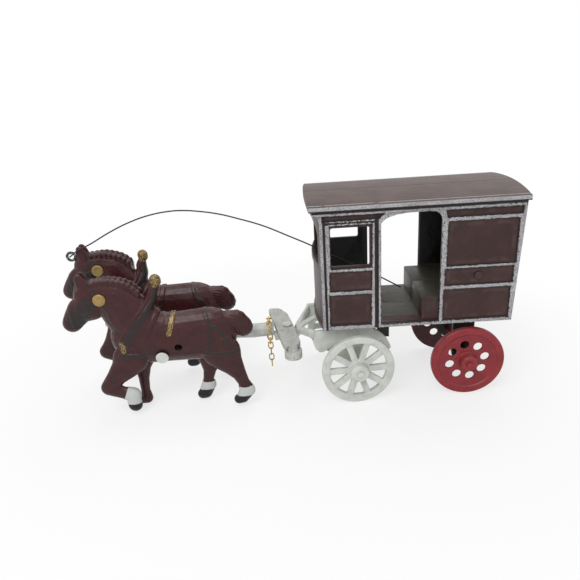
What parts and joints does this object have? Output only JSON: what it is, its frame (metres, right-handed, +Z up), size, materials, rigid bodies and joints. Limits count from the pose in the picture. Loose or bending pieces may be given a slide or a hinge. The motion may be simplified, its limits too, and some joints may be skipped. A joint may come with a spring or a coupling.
{
  "type": "toy horse-drawn carriage",
  "caption": "Cast iron toy carriage drawn by a pair of horses, with a closed body, a steering front truck, turning wheels, a drawbar, a wire rein and a hanging chain.",
  "frame": {"origin": "centre of the part's bounding box at ground height", "axes": "+X towards the carriage's rear, -Y the near side that the picture shows, +Z up"},
  "size_m": [0.3123, 0.0884, 0.1381],
  "materials": {
    "maroon_enamel": "dark maroon enamel, worn and dusty",
    "white_enamel": "off-white enamel with brown wear",
    "red_enamel": "red enamel with wear",
    "horse_enamel": "dark brown enamel with painted harness",
    "gold_paint": "gold paint",
    "dark_iron": "dark iron",
    "brass_chain": "dull brass"
  },
  "bodies": {
    "wagon": {"body_near_half": "maroon_enamel", "body_far_half": "maroon_enamel", "body_tie_rivet": "maroon_enamel", "king_pin": "dark_iron", "rear_axle": "dark_iron"},
    "front_truck": {"front_truck": "white_enamel", "front_axle": "white_enamel", "tongue_rivet": "white_enamel"},
    "near_front_wheel": {"front_wheel_near": "white_enamel"},
    "far_front_wheel": {"front_wheel_far": "white_enamel"},
    "near_rear_wheel": {"rear_wheel_near": "red_enamel"},
    "far_rear_wheel": {"rear_wheel_far": "red_enamel"},
    "evener": {"evener": "white_enamel"},
    "drawbar": {"pole": "white_enamel", "cross_rod": "white_enamel", "loop_link_1": "brass_chain", "loop_link_2": "brass_chain", "loop_link_3": "brass_chain", "loop_link_4": "brass_chain", "loop_link_5": "brass_chain", "loop_link_6": "brass_chain", "loop_link_7": "brass_chain", "loop_link_8": "brass_chain", "loop_link_9": "brass_chain", "loop_link_10": "brass_chain", "loop_link_11": "brass_chain", "loop_link_12": "brass_chain", "rein_wire": "dark_iron"},
    "near_horse": {"near_horse_near_half": "horse_enamel", "near_horse_far_half": "horse_enamel", "near_horse_rosette_rivet": "gold_paint"},
    "far_horse": {"far_horse_near_half": "horse_enamel", "far_horse_far_half": "horse_enamel", "far_horse_rosette_rivet": "gold_paint", "bridle_loop": "dark_iron"},
    "chain": {"hanging_link_1": "brass_chain", "hanging_link_2": "brass_chain", "hanging_link_3": "brass_chain", "chain_hook": "brass_chain"}
  },
  "joints": [
    {"name": "truck_steer", "type": "hinge", "parent": "wagon", "child": "front_truck", "pos_m": [0.0459, 0, 0], "axis": [0, 0, 1], "range_deg": [-20.5, 9.5]},
    {"name": "near_front_wheel_spin", "type": "hinge", "parent": "front_truck", "child": "near_front_wheel", "pos_m": [0.0459, 0, 0.02435], "axis": [-0.0958, 0.9954, 0], "continuous": true},
    {"name": "far_front_wheel_spin", "type": "hinge", "parent": "front_truck", "child": "far_front_wheel", "pos_m": [0.0459, 0, 0.02435], "axis": [-0.0958, 0.9954, 0], "continuous": true},
    {"name": "near_rear_wheel_spin", "type": "hinge", "parent": "wagon", "child": "near_rear_wheel", "pos_m": [0.1229, 0, 0.02435], "axis": [0, 1, 0], "continuous": true},
    {"name": "far_rear_wheel_spin", "type": "hinge", "parent": "wagon", "child": "far_rear_wheel", "pos_m": [0.1229, 0, 0.02435], "axis": [0, 1, 0], "continuous": true},
    {"name": "evener_swing", "type": "hinge", "parent": "front_truck", "child": "evener", "pos_m": [0.0031, -0.00412, 0], "axis": [0, 0, 1], "range_deg": [-4, 4]},
    {"name": "drawbar_swing", "type": "hinge", "parent": "front_truck", "child": "drawbar", "pos_m": [0.0031, -0.00412, 0], "axis": [0, 0, 1], "range_deg": [-2, 2]},
    {"name": "near_horse_rock", "type": "hinge", "parent": "drawbar", "child": "near_horse", "pos_m": [-0.07978, -0.02903, 0.0446], "axis": [-0.0349, 0.9994, 0], "range_deg": [-2, 2]},
    {"name": "far_horse_rock", "type": "hinge", "parent": "drawbar", "child": "far_horse", "pos_m": [-0.08312, 0.01488, 0.0516], "axis": [-0.0349, 0.9994, 0], "range_deg": [-1.5, 1.5]},
    {"name": "chain_swing", "type": "hinge", "parent": "drawbar", "child": "chain", "pos_m": [-0.00949, -0.00456, 0.03134], "axis": [-0.0349, 0.9994, 0], "range_deg": [-15, 15]}
  ]
}
